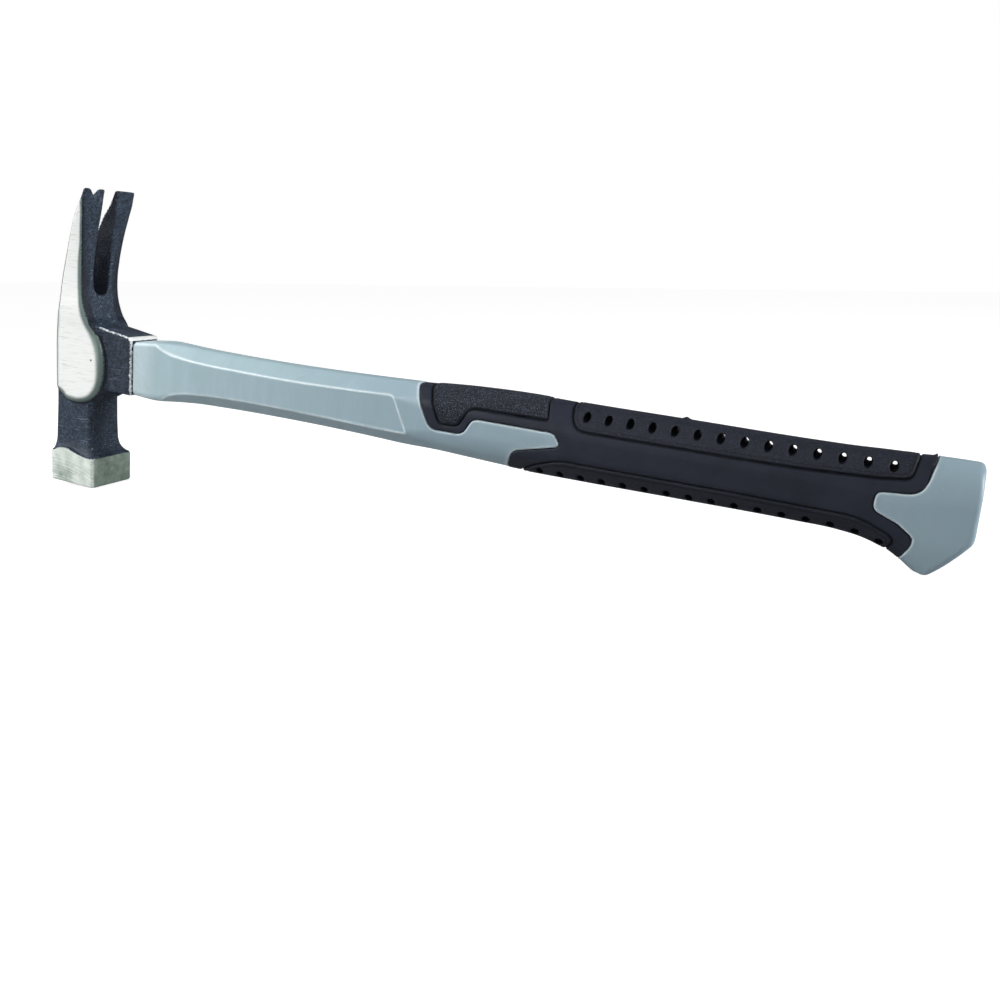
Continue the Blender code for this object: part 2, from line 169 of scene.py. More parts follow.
UPPER_PAD = [
    (242.8, 95.0), (242.8, 79.6), (244.6, 74.2), (247.6, 71.5), (250.8, 71.0), (282.0, 71.6),
    (306.0, 72.1), (329.0, 72.8), (354.5, 74.3), (364.4, 75.6), (366.0, 77.2), (366.9, 82.9),
    (367.4, 95.0),
]
LOWER_PAD = [
    (222.0, 40.0), (224.0, 50.6), (231.0, 54.6), (238.0, 57.4), (243.6, 58.7), (258.7, 58.9),
    (284.0, 59.5), (308.5, 60.0), (331.7, 60.2), (348.3, 60.4), (353.5, 59.6), (358.6, 57.6),
    (362.8, 55.8), (364.2, 53.8), (362.0, 49.0), (357.0, 40.0),
]

# Handle section along X: top, upper side corner, lower side corner, bottom,
# half width at the sides, half width of the top, half width of the bottom
HANDLE = [
    (HANDLE_START, 72.5, 71.5, 49.4, 48.0, 7.9, 6.9, 6.9),
    (38.0, 73.4, 72.3, 49.2, 47.6, 8.0, 6.9, 6.9),
    (45.0, 74.1, 72.6, 49.1, 47.5, 8.1, 6.8, 6.8),
    (54.0, 74.4, 70.2, 52.0, 48.3, 8.5, 4.8, 5.2),
    (64.0, 74.3, 69.1, 53.9, 49.2, 9.0, 3.7, 4.3),
    (82.0, 74.2, 68.7, 55.5, 50.1, 9.4, 3.4, 4.0),
    (110.0, 74.5, 68.8, 56.4, 50.9, 9.7, 3.4, 4.0),
    (150.0, 75.9, 70.3, 56.3, 51.1, 10.2, 3.5, 4.0),
    (176.0, 77.3, 71.0, 56.8, 50.7, 11.0, 3.6, 4.2),
    (200.0, 79.2, 71.3, 57.4, 50.2, 11.8, 3.6, 4.4),
    (222.0, 80.2, 70.8, 58.0, 49.9, 12.2, 3.6, 4.4),
    (245.0, 80.3, 70.6, 58.6, 50.3, 12.3, 3.6, 4.4),
    (290.0, 81.1, 71.0, 59.4, 51.5, 12.3, 3.6, 4.4),
    (330.0, 81.8, 71.6, 59.8, 52.4, 12.3, 3.6, 4.4),
    (345.0, 82.3, 71.8, 59.4, 52.4, 12.2, 3.6, 4.4),
    (355.0, 82.9, 72.0, 58.3, 51.2, 12.0, 3.6, 4.4),
    (364.0, 83.4, 72.8, 55.8, 48.1, 11.8, 3.7, 4.4),
    (372.0, 84.0, 74.5, 52.0, 43.1, 11.6, 4.2, 4.4),
    (392.0, 84.5, 76.5, 50.0, 35.5, 11.4, 4.8, 4.4),
]


def placement():
    """Where the hammer's own axes lie in the row frame, from the striking face's mount."""
    face = next(m for m in frame["record"]["mounts"] if m["name"] == "striking_face")
    tilt = math.atan2(-face["axis"][0], -face["axis"][2])
    return Matrix.Translation(Vector(face["pos_m"])) @ Matrix.Rotation(tilt, 4, "Y")


PLACEMENT = placement()


# ---------------------------------------------------------------- fields

def curve(table, column, at):
    """Smooth curve through one column of a table, read at the given places."""
    places = np.array([row[0] for row in table])
    values = np.array([row[column] for row in table])
    slopes = np.gradient(values, places)
    i = np.clip(np.searchsorted(places, at) - 1, 0, len(places) - 2)
    width = places[i + 1] - places[i]
    t = np.clip((at - places[i]) / width, 0, 1)
    rise = values[i + 1] - values[i]
    return (values[i] + rise * t * t * (3 - 2 * t)
            + width * t * (1 - t) * (slopes[i] * (1 - t) - slopes[i + 1] * t))


def outline_distance(points, x, z):
    """Distance to a closed side view (x, z), negative inside it."""
    near = np.inf
    inside = False
    for (ax, az), (bx, bz) in zip(points, points[1:] + points[:1]):
        ex, ez = bx - ax, bz - az
        wx, wz = x - ax, z - az
        t = np.clip((wx * ex + wz * ez) / (ex * ex + ez * ez), 0, 1)
        near = np.minimum(near, (wx - ex * t) ** 2 + (wz - ez * t) ** 2)
        if ez:
            inside = inside ^ (((az > z) != (bz > z)) & (wx < ex * wz / ez))
    return np.where(inside, -1.0, 1.0) * np.sqrt(near)


def smooth_points(points, steps=4):
    """Open line of points made rounder by a curve that passes through all of them."""
    result = []
    for i in range(len(points) - 1):
        p0 = np.array(points[max(i - 1, 0)])
        p1, p2 = np.array(points[i]), np.array(points[i + 1])
        p3 = np.array(points[min(i + 2, len(points) - 1)])
        for step in range(steps):
            t = step / steps
            point = 0.5 * (2 * p1 + (p2 - p0) * t + (2 * p0 - 5 * p1 + 4 * p2 - p3) * t ** 2
                           + (3 * p1 - p0 - 3 * p2 + p3) * t ** 3)
            result.append(tuple(point))
    return result + [points[-1]]


def round_corners(points, radius, steps=3):
    """Replaces each corner of a closed outline by a short curve."""
    result = []
    for i, corner in enumerate(points):
        here = Vector(corner)
        before = Vector(points[i - 1]) - here
        after = Vector(points[(i + 1) % len(points)]) - here
        start = here + before.normalized() * min(radius, before.length * 0.45)
        end = here + after.normalized() * min(radius, after.length * 0.45)
        for step in range(steps + 1):
            t = step / steps
            result.append(tuple(start * (1 - t) ** 2 + here * 2 * t * (1 - t) + end * t ** 2))
    return result


def round_edge(a, b, radius):
    """Part that two solids share, with the edge between them rounded."""
    u, v = np.maximum(radius + a, 0), np.maximum(radius + b, 0)
    return np.minimum(-radius, np.maximum(a, b)) + np.sqrt(u * u + v * v)


def fillet(a, b, radius):
    """Two solids joined, with the corner between them filled by a fillet."""
    u, v = np.maximum(radius - a, 0), np.maximum(radius - b, 0)
    return np.maximum(radius, np.minimum(a, b)) - np.sqrt(u * u + v * v)


def ramp(value, start, end):
    """0 before start, 1 after end and smooth in between."""
    t = np.clip((value - start) / (end - start), 0, 1)
    return t * t * (3 - 2 * t)


def ridge(distance, width):
    """Soft line of height 1 along distance 0."""
    return np.exp(-(distance / width) ** 2)


EYE = round_corners(EYE_OUTLINE, 1.0)
LEAF = smooth_points(LEAF_EDGE) + [(-40.0, 44.0), (-40.0, POLISH_TOP)]
BUTT = round_corners(BUTT_OUTLINE, 2.4)
GRIP = round_corners(GRIP_FRONT + GRIP_REAR, 1.3)
THUMB = round_corners(THUMB_PAD, 1.4)
UPPER = round_corners(UPPER_PAD, 2.0)
LOWER = round_corners(LOWER_PAD, 2.4)
PANEL_LINE = round_corners(PANEL, 2.0)


def leaf_depth(x, z):
    """How deep a point lies inside the ground leaf's side view."""
    return -outline_distance(LEAF, x, z)


def low_down(z):
    """1 beside the eye, 0 up the claw."""
    return ramp(z, 92.0, 74.0)


def block_top(x, across):
    """Height of the face block's rim, which arches up in the middle of its two sides."""
    arch = 2.7 * ridge(x + 4.5, 7.0) - 0.1 * ramp(x, 4.0, 13.0)
    return BLOCK_TOP + arch * ramp(across, 8.5, 11.5)


def head_field(x, y, z):
    """Forged head: face block, neck, eye with collar, ground leaves and split claw."""
    across = np.abs(y)
    block = round_edge(np.abs(x) - FACE_HALF, across - FACE_HALF, 1.2 + ramp(x, -4.0, 6.0))
    block = round_edge(block, -z, 1.3)
    at_corner = ramp(np.minimum(np.abs(x), across), 9.0, 12.5)
    block = round_edge(block, z - block_top(x, across), 0.45 + 0.8 * at_corner)

    front, half = curve(NECK, 1, z), curve(NECK, 2, z)
    neck = round_edge(x - front, across - half, 2.6)
    neck = round_edge(neck, BACK_X - 0.2 * ramp(z, 38.0, 24.0) - x, 1.2)
    neck = np.maximum(neck, np.maximum(NECK_SPAN[0] - z, z - NECK_SPAN[1]))
    body = fillet(block, neck, 0.5)

    eye = round_edge(outline_distance(EYE, x, z), across - EYE_HALF, 0.9)
    body = fillet(body, eye, 1.6)

    back, front, half = curve(CLAW, 1, z), curve(CLAW, 2, z), curve(CLAW, 3, z)
    thick = front - back
    front = front + CROWN * (1 - (across / half) ** 2) * ramp(z, 76.0, 90.0)
    corner = np.clip(thick * 0.25, 0.35, 1.3)
    shelf = 0.3 * ramp(z, 80.0, 90.0)
    claw = round_edge(x - front, across - half + shelf, corner)
    claw = round_edge(claw, back - x, np.clip(thick * 0.22, 0.3, 2.8))
    claw = round_edge(claw, z - CLAW_TOP, 0.8)
    claw = np.maximum(claw, CLAW_BASE - z)
    body = fillet(body, claw, 2.2)

    depth = leaf_depth(x, z)
    low = low_down(z)
    inset = np.clip(1 - depth / (1.5 + 2.2 * low), 0, 1)
    drop = (0.9 + 1.5 * low) * (1 - np.sqrt(1 - inset * inset * 0.98))
    side = np.maximum(half, CHEEK_HALF * ramp(z, 90.0, 80.0)) - drop
    leaf = round_edge(-depth, across - side, 0.3)
    leaf = round_edge(leaf, back - x, np.clip(thick * 0.25, 0.3, 3.0))
    leaf = np.maximum(leaf, x - front - 20.0 * ramp(z, 84.0, 79.0))
    leaf = np.maximum(leaf, 7.0 - across)
    body = fillet(body, leaf, 0.25)

    share = np.clip((x - back) / thick, -0.2, 1.2)
    width = curve(SLOT, 1, z) * (1 - share) + curve(SLOT, 2, z) * share
    slot = np.maximum(across - width, SLOT_BOTTOM - z)
    body = round_edge(body, -slot, 0.5)
    notch = (np.abs(y - NOTCH_Y) * 1.3 - (z - NOTCH_BOTTOM)) * 0.61
    body = round_edge(body, -notch, 1.0)

    bore = round_edge(across - BORE_HALF, np.abs(z - BORE_MIDDLE) - BORE_HALF_HEIGHT, 2.0)
    return round_edge(body, -bore, 0.6)


def section_field(x, y, z, side=0.0, top=0.0, under=0.0, soft=1.0):
    """Eight-sided handle section, drawn in by three thicknesses and with soft corners."""
    across = np.abs(y)
    high, upper, lower, low, half, crown, keel = (curve(HANDLE, c, x) for c in range(1, 8))
    high, low, half = high - top, low + under, half - side
    upper, lower = np.minimum(upper, high - 1.0), np.maximum(lower, low + 1.0)
    crown, keel = np.maximum(crown - side * 0.2, 1.5), np.maximum(keel - side * 0.2, 1.5)
    field = across - half
    for limit, shoulder, flat, way in ((high, upper, crown, 1.0), (low, lower, keel, -1.0)):
        rise, run = (limit - shoulder) * way, half - flat
        length = np.sqrt(rise * rise + run * run)
        bevel = ((across - half) * rise + (z - shoulder) * way * run) / length
        end = round_edge(bevel, (z - limit) * way, soft)
        field = round_edge(field, end, soft)
    return field


def jacket_field(x, y, z):
    """Plastic shaft and butt, with a spigot in the eye and a recess for the rubber."""
    across = np.abs(y)
    soft = 0.8 + 2.6 * ramp(x, 168.0, 190.0)
    shaft = section_field(x, y, z, soft=soft)
    on_side = ramp(across, 5.5, 7.0) * ramp(x, 40.0, 52.0)
    line = outline_distance(PANEL_LINE, x, z)
    shaft = shaft - 0.22 * ridge(line, 0.45) * on_side
    shaft = shaft + 0.35 * ramp(-line, 0.0, 0.8) * ramp(x, 130.0, 168.0) * ramp(across, 7.0, 9.0)
    mark = np.sqrt((x - MARK[0]) ** 2 + (z - MARK[1]) ** 2)
    shaft = shaft - 0.14 * ridge(mark - MARK_RADIUS, 0.35) * on_side
    shaft = round_edge(shaft, outline_distance(BUTT, x, z), 2.0)
    shaft = np.maximum(shaft, HANDLE_START - x)

    spigot = np.maximum(across - SPIGOT_HALF, np.abs(z - BORE_MIDDLE) - SPIGOT_HALF_HEIGHT)
    spigot = np.maximum(spigot, np.maximum(SPIGOT_START - x, x - SPIGOT_END))
    jacket = np.minimum(shaft, spigot)

    edge = outline_distance(GRIP, x, z)
    lip = 0.16 * ridge(edge - 0.7, 0.5)
    inner = section_field(x, y, z, GRIP_SIDE + GAP, GRIP_TOP + GAP, GRIP_UNDER + GAP)
    recess = np.maximum(edge - GAP, -inner)
    jacket = round_edge(jacket - lip, -recess, 0.3)

    bore = np.maximum(across - CORE_HALF[0], np.abs(z - CORE_Z) - CORE_HALF[1])
    return np.maximum(jacket, -np.maximum(bore, x - CORE_END))


def hole_places():
    """Middle and radii of every finger hole."""
    places = []
    for i in range(UPPER_HOLES):
        x = UPPER_START[0] + HOLE_PITCH * i
        places.append((x, UPPER_START[1] + UPPER_RISE * i, UPPER_RADII))
    for i in range(LOWER_HOLES):
        x = LOWER_START_X + HOLE_PITCH * i
        places.append((x, float(curve(HANDLE, 4, x)) + LOWER_ABOVE_KEEL, LOWER_RADII))
    return places


def holes_field(x, y, z):
    """Distance to the nearest finger hole, negative inside; each narrows to the middle."""
    draft = 0.5 + 0.5 * ramp(np.abs(y), 0.0, 6.5)
    near = 9.0
    for hole_x, hole_z, (wide, tall) in hole_places():
        reach = np.sqrt(((x - hole_x) / wide) ** 2 + ((z - hole_z) / tall) ** 2)
        near = np.minimum(near, (reach - draft) * min(wide, tall))
    return near


def pad_profile(distance):
    """Height across a pad's border: base, groove, then a bevel up to the pad."""
    raised = PAD_HEIGHT * ramp(-distance, 0.2, 1.5)
    groove = PAD_GROOVE * ridge(distance + 0.1, 0.36)
    return raised - groove - 0.25 * PAD_GROOVE * ridge(distance + 1.7, 0.32)


def grip_field(x, y, z):
    """Rubber sleeve with three raised pads and two rows of through holes."""
    shape = section_field(x, y, z, soft=2.0)
    height = sum(pad_profile(outline_distance(pad, x, z)) for pad in (THUMB, UPPER, LOWER))
    edge = outline_distance(GRIP, x, z)
    flash = 0.7 * ridge(edge + 0.3, 0.6) * ramp(x, 368.0, 371.0) * ramp(z, 80.5, 83.0)
    nub = 0.9 * ridge(np.hypot(x - NUB_X, y), 1.3) * ramp(z, 78.0, 80.0)
    outer = shape + 0.15 - height - flash - nub
    grip = round_edge(outer, edge, 0.5)
    grip = round_edge(grip, -section_field(x, y, z, GRIP_SIDE, GRIP_TOP, GRIP_UNDER), 0.1)
    return round_edge(grip, -holes_field(x, y, z), 0.3)


def resin_field(x, y, z):
    """Epoxy plug in the eye whose face dips between its rim and the core."""
    half, height = BORE_HALF - GAP, BORE_HALF_HEIGHT - GAP
    plug = round_edge(np.abs(y) - half, np.abs(z - BORE_MIDDLE) - height, 2.0)
    dip = 0.7 * ridge(plug + 1.6, 1.2) + 0.15 * np.sin(y * 0.9 + 0.7) * np.cos(z * 0.5)
    plug = round_edge(plug, BACK_X + 0.8 + dip - x, 0.2)
    plug = np.maximum(plug, x - SPIGOT_START + GAP)
    core = round_edge(np.abs(y) - CORE_HALF[0], np.abs(z - CORE_Z) - CORE_HALF[1], 1.5)
    return np.maximum(plug, -core)


# ---------------------------------------------------------------- meshes

def slope(field, points):
    """Direction in which a field grows fastest at each point."""
    columns = []
    for axis in range(3):
        ahead, behind = points.copy(), points.copy()
        ahead[:, axis] += SLOPE_STEP
        behind[:, axis] -= SLOPE_STEP
        columns.append((field(*ahead.T) - field(*behind.T)) / (2 * SLOPE_STEP))
    return np.stack(columns, axis=1)


def surface_cells(values):
    """Cells that the surface crosses, with the mean of its crossings in each."""
    solid = values < 0
    shape = [n - 1 for n in values.shape]
    filled = np.zeros(shape, np.uint8)
    for corner in np.ndindex(2, 2, 2):
        filled += solid[tuple(slice(c, c + n) for c, n in zip(corner, shape))]
    cells = np.argwhere((filled > 0) & (filled < 8))
    total = np.zeros(cells.shape)
    count = np.zeros(len(cells))
    for axis in range(3):
        for a, b in np.ndindex(2, 2):
            start = cells.copy()
            start[:, (axis + 1) % 3] += a
            start[:, (axis + 2) % 3] += b
            end = start.copy()
            end[:, axis] += 1
            low, high = values[tuple(start.T)], values[tuple(end.T)]
            crossed = (low < 0) != (high < 0)
            point = start.astype(float)
            point[:, axis] += np.where(crossed, low / np.where(crossed, low - high, 1), 0)
            total += point * crossed[:, None]
            count += crossed
    return solid, cells, total / count[:, None]


def surface_quads(solid, cells):
    """Four-sided faces between neighbouring cells, facing outward."""
    shape = [n - 1 for n in solid.shape]
    index = np.full(shape, -1, np.int64)
    index[tuple(cells.T)] = np.arange(len(cells))
    quads = []
    for axis in range(3):
        b, c = (axis + 1) % 3, (axis + 2) % 3
        first = np.take(solid, range(solid.shape[axis] - 1), axis)
        second = np.take(solid, range(1, solid.shape[axis]), axis)
        edges = np.argwhere(first != second)
        keep = ((edges[:, b] > 0) & (edges[:, c] > 0)
                & (edges[:, b] < shape[b]) & (edges[:, c] < shape[c]))
        edges = edges[keep]
        step_b, step_c = np.eye(3, dtype=int)[b], np.eye(3, dtype=int)[c]
        around = (edges, edges - step_b, edges - step_b - step_c, edges - step_c)
        quad = np.stack([index[tuple(cell.T)] for cell in around], axis=1)
        outward = first[tuple(edges.T)]
        quads.append(np.where(outward[:, None], quad, quad[:, ::-1]))
    return np.concatenate(quads)


def field_mesh(name, field, low, high, step):
    """Closed mesh of a field's surface, and its points in millimetres."""
    axes = [np.arange(a, b + step, step, dtype=np.float32) for a, b in zip(low, high)]
    x, y, z = np.meshgrid(*axes, indexing="ij", sparse=True)
    values = np.broadcast_to(field(x, y, z), [len(axis) for axis in axes])
    solid, cells, points = surface_cells(values)
    points = points * step + np.array(low)
    for _ in range(3):
        way = slope(field, points)
        move = field(*points.T) / np.maximum((way ** 2).sum(1), 0.3)
        points -= np.clip(move, -0.4 * step, 0.4 * step)[:, None] * way
    quads = surface_quads(solid, cells)

    mesh = bpy.data.meshes.new(name)
    mesh.vertices.add(len(points))
    mesh.vertices.foreach_set("co", (points * MM).astype(np.float32).ravel())
    mesh.loops.add(quads.size)
    mesh.loops.foreach_set("vertex_index", quads.ravel().astype(np.int32))
    mesh.polygons.add(len(quads))
    mesh.polygons.foreach_set("loop_start", np.arange(0, quads.size, 4, dtype=np.int32))
    mesh.update(calc_edges=True)
    mesh.validate()
    mesh.shade_smooth()
    return mesh, points


def store(mesh, name, values):
    """Keeps one number per vertex, for the materials to read."""
    layer = mesh.attributes.new(name, "FLOAT", "POINT")
    layer.data.foreach_set("value", np.asarray(values, np.float32))


# ---------------------------------------------------------------- materials

class Finish:
    """Node-based material of one Principled surface."""

    def __init__(self, name, **sockets):
        self.material = bpy.data.materials.new(name)
        self.material.use_nodes = True
        self.tree = self.material.node_tree
        self.shader = self.tree.nodes["Principled BSDF"]
        for key, value in sockets.items():
            self.shader.inputs[key.replace("_", " ")].default_value = value
        row_place = self.tree.nodes.new("ShaderNodeTexCoord").outputs["Object"]
        into = {"Vector": row_place, "Location": PLACEMENT.translation,
                "Rotation": PLACEMENT.to_euler()}
        self.place = self.node("Mapping", into, vector_type="TEXTURE").outputs[0]

    def node(self, kind, inputs, **settings):
        """Adds a node; numbers and colours are set, sockets are linked."""
        made = self.tree.nodes.new(f"ShaderNode{kind}")
        for key, value in settings.items():
            setattr(made, key, value)
        for key, value in inputs.items():
            self.set(made.inputs[key], value)
        return made

    def set(self, socket, value):
        """Links or sets one input."""
        if isinstance(value, bpy.types.NodeSocket):
            self.tree.links.new(value, socket)
        else:
            socket.default_value = value

    def math(self, operation, a, b=0.0, clamp=False):
        """Result of one sum, product or other operation on two numbers."""
        made = self.node("Math", {0: a, 1: b}, operation=operation, use_clamp=clamp)
        return made.outputs[0]

    def value(self, name):
        """Number kept on the mesh's vertices."""
        made = self.node("Attribute", {}, attribute_name=name)
        return made.outputs["Fac"]

    def stretch(self, scale, turn=(0.0, 0.0, 0.0)):
        """Object coordinates in millimetres, turned and then scaled along each axis."""
        turned = self.node("Mapping", {"Vector": self.place, "Rotation": turn})
        sized = self.node("Mapping", {"Vector": turned.outputs[0],
                                      "Scale": tuple(1000.0 * s for s in scale)})
        return sized.outputs[0]

    def noise(self, scale, detail=3.0, roughness=0.55, turn=(0.0, 0.0, 0.0), distortion=0.0):
        """Noise around 0.5; scale is features per millimetre along each axis."""
        scale = scale if isinstance(scale, tuple) else (scale,) * 3
        made = self.node("TexNoise", {"Vector": self.stretch(scale, turn), "Scale": 1.0,
                                      "Detail": detail, "Roughness": roughness,
                                      "Distortion": distortion})
        return made.outputs["Fac"]

    def span(self, value, low, high, to_low=0.0, to_high=1.0):
        """Value moved from one span to another and held inside it."""
        made = self.node("MapRange", {"Value": value, "From Min": low, "From Max": high,
                                      "To Min": to_low, "To Max": to_high})
        return made.outputs["Result"]

    def distance(self, place, point):
        """Distance from a place to a fixed point."""
        made = self.node("VectorMath", {0: place, 1: point}, operation="DISTANCE")
        return made.outputs["Value"]

    def mix(self, share, a, b):
        """Colour between two colours."""
        made = self.node("Mix", {0: share, 6: colour(a), 7: colour(b)}, data_type="RGBA")
        return made.outputs[2]

    def between(self, share, a, b):
        """Number between two numbers."""
        made = self.node("Mix", {0: share, 2: a, 3: b}, data_type="FLOAT")
        return made.outputs[0]

    def bump(self, height, distance, under=None):
        """Surface normal from a height; distance in millimetres."""
        inputs = {"Height": height, "Distance": distance * MM, "Strength": 1.0}
        if under is not None:
            inputs["Normal"] = under
        return self.node("Bump", inputs).outputs[0]

    def finish(self, **sockets):
        """Links the last colours and numbers to the shader."""
        for key, value in sockets.items():
            self.set(self.shader.inputs[key.replace("_", " ")], value)
        return self.material


def colour(value):
    """Hex text as a linear colour; sockets and tuples pass through."""
    if not isinstance(value, str):
        return value
    parts = [int(value[i:i + 2], 16) / 255 for i in (0, 2, 4)]
    return (*[p / 12.92 if p <= 0.04045 else ((p + 0.055) / 1.055) ** 2.4 for p in parts], 1.0)


def head_paint(f, grain):
    """Colour of the blue-black paint with its scratches, darkened by painted shade in the nail
    slot, round the leaf's foot and on the collar's sides.
    """
    blotch = f.noise(0.12, 2.0)
    paint = f.mix(f.span(grain, 0.4, 0.62), "131821", "415062")
    paint = f.mix(f.span(blotch, 0.35, 0.7, 0.0, 0.5), paint, "202733")
    # Painted shade: paint darkened in the nail slot, round the leaf's foot and on the collar's
    # sides.
    paint = f.mix(f.math("MULTIPLY", f.value("painted_shade"), 0.75), paint, "10131b")
    scratch = f.noise((0.1, 0.6, 2.2), 2.0, 0.6, turn=(0.0, 0.08, 0.0))
    patches = f.span(f.noise(0.14, 1.0), 0.46, 0.56)
    scratched = f.math("MULTIPLY", f.span(scratch, 0.6, 0.68), patches)
    exposed = f.math("SUBTRACT", 0.55, f.value("painted_shade"), clamp=True)
    return f.mix(f.math("MULTIPLY", scratched, exposed), paint, "8390a4")


def grinding_marks(f):
    """Height of the wheel's arcs on the face block, patchy on the block's side that faces the
    butt.
    """
    from_centre = f.distance(f.stretch((1.0, 0.0, 1.0)), GRINDING_CENTRE)
    arcs_place = f.node("CombineXYZ", {"X": f.math("MULTIPLY", from_centre, 1.9)}).outputs[0]
    arcs = f.node("TexNoise", {"Vector": arcs_place, "Scale": 1.0, "Detail": 3.0}).outputs["Fac"]
    patchy = f.noise(0.22, 3.0)
    arcs = f.between(f.value("shaded_block_side"), arcs, patchy)
    return f.math("ADD", f.math("MULTIPLY", arcs, 0.6), f.math("MULTIPLY", patchy, 0.4))


def head_bare(f, brushed, arcs, pitted):
    """Colour of the ground steel: brushed leaves, face block with a darker patch and painted shade
    on its side towards the butt, painted shade where the leaves turn over, their dark painted back
    rim, and the pit.
    """
    steel = f.mix(f.span(brushed, 0.3, 0.7), "eef3ef", "ffffff")
    ground = f.mix(f.span(arcs, 0.36, 0.64), "b2c1b7", "f8fdf8")
    # Darker patch low on the face block's near side.
    patch_share = f.math("MULTIPLY", f.value("dark_patch"), f.span(arcs, 0.34, 0.62, 1.0, 0.2))
    ground = f.mix(patch_share, ground, "6f8377")
    # Painted shade: the face block's side towards the butt gets darker steel colours.
    ground = f.mix(f.value("shaded_block_side"), ground, f.mix(f.span(arcs, 0.36, 0.64), "78877d", "96a69b"))
    # Painted shade where the leaf's ground face turns over at its edges.
    steel = f.mix(f.value("turn"), steel, "6d7d79")
    steel = f.mix(f.value("rim"), steel, "2c383b")
    steel = f.mix(f.value("block"), steel, ground)
    return f.mix(pitted, steel, "1d2a2b")


def head_steel():
    """Textured blue-black paint, worn through at edges, and ground bare steel."""
    f = Finish("head_steel", Specular_IOR_Level=0.22)
    chips = f.noise(1.6, 4.0, 0.65)
    bare_depth = f.math("ADD", f.value("bare"), f.span(chips, 0.3, 0.7, -0.22, 0.22))
    bare = f.span(bare_depth, -0.06, 0.08)
    ragged = f.span(f.noise(0.9, 5.0, 0.75), 0.3, 0.7, -0.9, 0.7)
    worn = f.span(f.math("ADD", f.value("wear"), ragged), -0.05, 0.2)
    from_pit = f.distance(f.stretch((1.0, 1.0, 1.0)), PIT)
    pitted = f.span(f.math("ADD", from_pit, f.span(chips, 0.3, 0.7, -0.2, 0.2)), 0.75, 0.5)

    grain = f.noise(1.1, 5.0, 0.7)
    brushed = f.noise((0.10, 2.0, 4.5), 3.0, 0.6, turn=(0.0, 0.05, 0.0))
    arcs = grinding_marks(f)
    worn_steel = f.mix(f.span(grain, 0.4, 0.6), "9aa6ab", "eef3f4")
    shown = f.mix(worn, head_paint(f, grain), worn_steel)
    shown = f.mix(bare, shown, head_bare(f, brushed, arcs, pitted))
    metal = f.math("MAXIMUM", bare, worn)
    metal = f.math("MULTIPLY", metal, f.math("SUBTRACT", 1.0, pitted))
    rough = f.between(bare, f.span(grain, 0.3, 0.7, 0.42, 0.58),
                      f.span(brushed, 0.3, 0.7, 0.26, 0.36))

    paint_bump = f.bump(f.math("ADD", grain, f.math("MULTIPLY", f.noise(2.6, 2.0), 0.5)), 0.28)
    steel_bump = f.bump(f.between(f.value("block"), brushed, arcs), 0.05)
    mixed = f.node("Mix", {0: bare, 4: paint_bump, 5: steel_bump}, data_type="VECTOR")
    edge = f.bump(f.math("SUBTRACT", 1.0, metal), 0.12, under=mixed.outputs[1])
    return f.finish(Base_Color=shown, Metallic=f.math("MULTIPLY", metal, 0.32), Roughness=rough,
                    Normal=edge)


def grey_plastic():
    """Satin moulded plastic with faint flow streaks, painted highlights along moulded edges and by
    the collar, and painted shade towards the butt.
    """
    f = Finish("grey_plastic", Specular_IOR_Level=0.35)
    flow = f.noise((0.16, 0.1, 0.03), 3.0, 0.6, distortion=0.4)
    cloud = f.noise(0.05, 2.0)
    fine = f.noise(3.2, 2.0)
    base = f.mix(f.span(flow, 0.3, 0.7), "93a7b1", "a3b7c0")
    base = f.mix(f.span(cloud, 0.35, 0.65, 0.0, 0.6), base, "95adaf")
    # Painted shade: darker towards the butt, as light falls off away from the key lamp.
    base = f.mix(f.value("falloff_shade"), base, "879ca8")
    # Painted highlight: paler along the panel's crease lines, the rubber's edge and the first
    # stretch of handle by the collar.
    pale = f.math("MULTIPLY", f.value("pale"), f.span(f.noise(0.5, 3.0), 0.25, 0.7, 0.55, 1.0))
    base = f.mix(pale, base, "dfeaec")
    speck = f.span(f.noise(1.4, 1.0), 0.72, 0.78, 0.0, 0.25)
    base = f.mix(speck, base, "c3d0d4")
    rough = f.span(f.math("ADD", fine, f.math("MULTIPLY", cloud, 0.5)), 0.4, 1.1, 0.34, 0.48)
    height = f.math("ADD", f.math("MULTIPLY", fine, 0.6), f.noise(0.7, 2.0))
    return f.finish(Base_Color=base, Roughness=rough, Normal=f.bump(height, 0.05))


def black_rubber():
    """Matt blue-black rubber: grained pads, painted shade in their border grooves, and a pale
    stipple on the thumb pad whose specks are partly painted glints.
    """
    f = Finish("black_rubber", Specular_IOR_Level=0.17)
    pad, thumb, groove = f.value("pad"), f.value("thumb"), f.value("groove")
    cloud = f.noise(0.08, 3.0)
    fine = f.noise(2.4, 3.0, 0.6)
    base = f.mix(f.span(cloud, 0.3, 0.7), "1f232e", "272b37")
    base = f.mix(f.math("MULTIPLY", pad, 0.5), base, "1e2028")
    base = f.mix(f.math("MULTIPLY", thumb, 0.4), base, "161920")
    # Painted shade: the pads' border grooves are darkened.
    base = f.mix(groove, base, "08090d")
    specks = f.noise(2.3, 2.0, 0.7)
    base = f.mix(f.math("MULTIPLY", pad, f.span(specks, 0.55, 0.72, 0.0, 0.35)), base, "5a6474")
    # Pale stipple specks on the thumb pad, partly standing in for painted glints on the stipple.
    base = f.mix(f.math("MULTIPLY", thumb, f.span(specks, 0.55, 0.68, 0.0, 0.6)), base, "78879a")
    rough = f.between(thumb, f.span(fine, 0.3, 0.7, 0.5, 0.62), 0.5)
    even = f.bump(f.math("MULTIPLY", fine, f.between(pad, 0.5, 2.4)), 0.1)
    stipple = f.bump(f.math("MULTIPLY", specks, thumb), 0.55, under=even)
    return f.finish(Base_Color=base, Roughness=rough, Normal=stipple)


